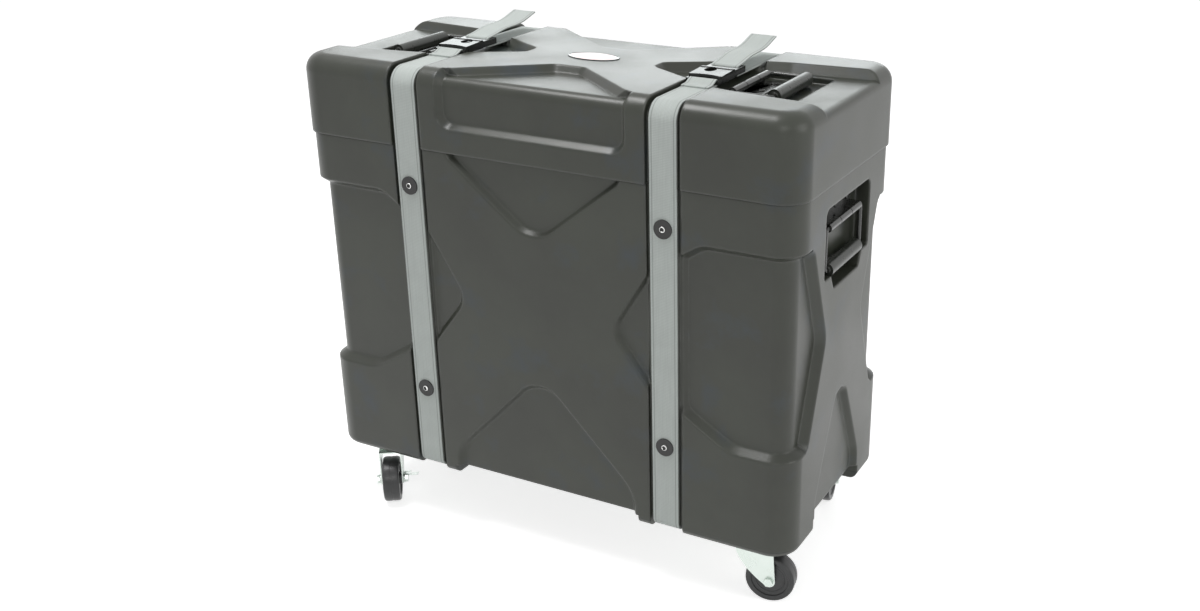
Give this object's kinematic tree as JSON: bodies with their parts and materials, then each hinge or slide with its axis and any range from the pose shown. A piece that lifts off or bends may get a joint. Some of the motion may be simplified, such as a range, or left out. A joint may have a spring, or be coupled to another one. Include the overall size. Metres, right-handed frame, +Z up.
{
  "type": "wheeled drum case",
  "caption": "Upright rotomoulded drum case with a lift-off lid held by two buckled straps, folding carry handles and four swivel casters",
  "frame": {"origin": "on the floor under the middle of the case", "axes": "+Z up, +X along the case to the pictured end, -Y the pictured front"},
  "size_m": [0.95, 0.4672, 0.8943],
  "materials": {
    "moulded_plastic": "rotomoulded polyethylene, fine orange-peel grain",
    "webbing": "woven polypropylene webbing",
    "buckle_plastic": "moulded acetal",
    "grip_plastic": "ribless moulded grip",
    "black_steel": "black coated steel",
    "washer_rubber": "black rubber and plastic washer",
    "badge_plastic": "bare moulded oval",
    "wheel_rubber": "hard rubber wheel",
    "rivet_steel": "plated rivet",
    "zinc_steel": "bright zinc plate"
  },
  "bodies": {
    "base": {"base_shell": "moulded_plastic", "strap_rivets": "rivet_steel", "strap_washers": "washer_rubber", "end_handle_rivets": "rivet_steel", "caster_bolts": "zinc_steel", "right_strap_lower": "webbing", "right_strap_front_riser": "webbing", "right_strap_rear_riser": "webbing", "right_end_handle_plate": "black_steel", "left_strap_lower": "webbing", "left_strap_front_riser": "webbing", "left_strap_rear_riser": "webbing", "left_end_handle_plate": "black_steel", "front_right_caster_plate": "zinc_steel", "front_left_caster_plate": "zinc_steel", "rear_right_caster_plate": "zinc_steel", "rear_left_caster_plate": "zinc_steel"},
    "lid": {"lid_shell": "moulded_plastic", "lid_badge": "badge_plastic", "lid_handle_rivets": "rivet_steel", "right_strap_front_top": "webbing", "right_strap_rear_top": "webbing", "right_buckle_socket": "buckle_plastic", "right_lid_handle_plate": "black_steel", "left_strap_front_top": "webbing", "left_strap_rear_top": "webbing", "left_buckle_socket": "buckle_plastic", "left_lid_handle_plate": "black_steel"},
    "right_plug": {"right_buckle_plug": "buckle_plastic", "right_strap_tail": "webbing"},
    "right_prong_outer": {"right_buckle_prong_outer": "buckle_plastic"},
    "right_prong_inner": {"right_buckle_prong_inner": "buckle_plastic"},
    "right_lid_handle": {"right_lid_handle_bail": "black_steel", "right_lid_handle_grip": "grip_plastic"},
    "right_end_handle": {"right_end_handle_bail": "black_steel", "right_end_handle_grip": "grip_plastic"},
    "left_plug": {"left_buckle_plug": "buckle_plastic", "left_strap_tail": "webbing"},
    "left_prong_outer": {"left_buckle_prong_outer": "buckle_plastic"},
    "left_prong_inner": {"left_buckle_prong_inner": "buckle_plastic"},
    "left_lid_handle": {"left_lid_handle_bail": "black_steel", "left_lid_handle_grip": "grip_plastic"},
    "left_end_handle": {"left_end_handle_bail": "black_steel", "left_end_handle_grip": "grip_plastic"},
    "front_right_swivel": {"front_right_caster_fork": "zinc_steel", "front_right_caster_axle": "zinc_steel"},
    "front_right_wheel": {"front_right_caster_wheel": "wheel_rubber"},
    "front_left_swivel": {"front_left_caster_fork": "zinc_steel", "front_left_caster_axle": "zinc_steel"},
    "front_left_wheel": {"front_left_caster_wheel": "wheel_rubber"},
    "rear_right_swivel": {"rear_right_caster_fork": "zinc_steel", "rear_right_caster_axle": "zinc_steel"},
    "rear_right_wheel": {"rear_right_caster_wheel": "wheel_rubber"},
    "rear_left_swivel": {"rear_left_caster_fork": "zinc_steel", "rear_left_caster_axle": "zinc_steel"},
    "rear_left_wheel": {"rear_left_caster_wheel": "wheel_rubber"},
    "front_left_brake": {"front_left_caster_pedal": "zinc_steel"},
    "rear_left_brake": {"rear_left_caster_pedal": "zinc_steel"}
  },
  "joints": [
    {"name": "lid_lift", "type": "slide", "parent": "base", "child": "lid", "axis": [0, 0, 1], "range_m": [0, 0.1], "deforming": ["right_strap_front_riser", "right_strap_rear_riser", "left_strap_front_riser", "left_strap_rear_riser"]},
    {"name": "right_buckle_open", "type": "slide", "parent": "lid", "child": "right_plug", "axis": [0, 1, 0], "range_m": [0, 0.04]},
    {"name": "right_squeeze_outer", "type": "slide", "parent": "right_plug", "child": "right_prong_outer", "axis": [-1, 0, 0], "range_m": [0, 0.012]},
    {"name": "right_squeeze_inner", "type": "slide", "parent": "right_plug", "child": "right_prong_inner", "axis": [1, 0, 0], "range_m": [0, 0.012]},
    {"name": "right_lid_handle_swing", "type": "hinge", "parent": "lid", "child": "right_lid_handle", "pos_m": [0.294, 0, 0.851], "axis": [0, -1, 0], "range_deg": [0, 90]},
    {"name": "right_end_handle_swing", "type": "hinge", "parent": "base", "child": "right_end_handle", "pos_m": [0.463, 0, 0.65], "axis": [0, -1, 0], "range_deg": [0, 90]},
    {"name": "left_buckle_open", "type": "slide", "parent": "lid", "child": "left_plug", "axis": [0, 1, 0], "range_m": [0, 0.04]},
    {"name": "left_squeeze_outer", "type": "slide", "parent": "left_plug", "child": "left_prong_outer", "axis": [1, 0, 0], "range_m": [0, 0.012]},
    {"name": "left_squeeze_inner", "type": "slide", "parent": "left_plug", "child": "left_prong_inner", "axis": [-1, 0, 0], "range_m": [0, 0.012]},
    {"name": "left_lid_handle_swing", "type": "hinge", "parent": "lid", "child": "left_lid_handle", "pos_m": [-0.294, 0, 0.851], "axis": [0, 1, 0], "range_deg": [0, 90]},
    {"name": "left_end_handle_swing", "type": "hinge", "parent": "base", "child": "left_end_handle", "pos_m": [-0.463, 0, 0.65], "axis": [0, 1, 0], "range_deg": [0, 90]},
    {"name": "front_right_swivel_turn", "type": "hinge", "parent": "base", "child": "front_right_swivel", "pos_m": [0.385, -0.16, 0.1], "axis": [0, 0, 1], "continuous": true},
    {"name": "front_right_wheel_roll", "type": "hinge", "parent": "front_right_swivel", "child": "front_right_wheel", "pos_m": [0.41848, -0.1541, 0.043], "axis": [-0.1736, 0.9848, 0], "continuous": true},
    {"name": "front_left_swivel_turn", "type": "hinge", "parent": "base", "child": "front_left_swivel", "pos_m": [-0.385, -0.16, 0.1], "axis": [0, 0, 1], "continuous": true},
    {"name": "front_left_wheel_roll", "type": "hinge", "parent": "front_left_swivel", "child": "front_left_wheel", "pos_m": [-0.3655, -0.18785, 0.043], "axis": [0.8192, 0.5736, 0], "continuous": true},
    {"name": "front_left_brake_press", "type": "hinge", "parent": "front_left_swivel", "child": "front_left_brake", "pos_m": [-0.3655, -0.18785, 0.043], "axis": [-0.8192, -0.5736, 0], "range_deg": [0, 18]},
    {"name": "rear_right_swivel_turn", "type": "hinge", "parent": "base", "child": "rear_right_swivel", "pos_m": [0.385, 0.16, 0.1], "axis": [0, 0, 1], "continuous": true},
    {"name": "rear_right_wheel_roll", "type": "hinge", "parent": "rear_right_swivel", "child": "rear_right_wheel", "pos_m": [0.3791, 0.19348, 0.043], "axis": [-0.9848, -0.1736, 0], "continuous": true},
    {"name": "rear_left_swivel_turn", "type": "hinge", "parent": "base", "child": "rear_left_swivel", "pos_m": [-0.385, 0.16, 0.1], "axis": [0, 0, 1], "continuous": true},
    {"name": "rear_left_wheel_roll", "type": "hinge", "parent": "rear_left_swivel", "child": "rear_left_wheel", "pos_m": [-0.3655, 0.18785, 0.043], "axis": [-0.8192, 0.5736, 0], "continuous": true},
    {"name": "rear_left_brake_press", "type": "hinge", "parent": "rear_left_swivel", "child": "rear_left_brake", "pos_m": [-0.3655, 0.18785, 0.043], "axis": [0.8192, -0.5736, 0], "range_deg": [0, 18]}
  ],
  "couplings": [
    {"joint": "right_squeeze_outer", "follows": "right_buckle_open", "ratio": 0.3},
    {"joint": "right_squeeze_inner", "follows": "right_buckle_open", "ratio": 0.3},
    {"joint": "left_squeeze_outer", "follows": "left_buckle_open", "ratio": 0.3},
    {"joint": "left_squeeze_inner", "follows": "left_buckle_open", "ratio": 0.3}
  ]
}
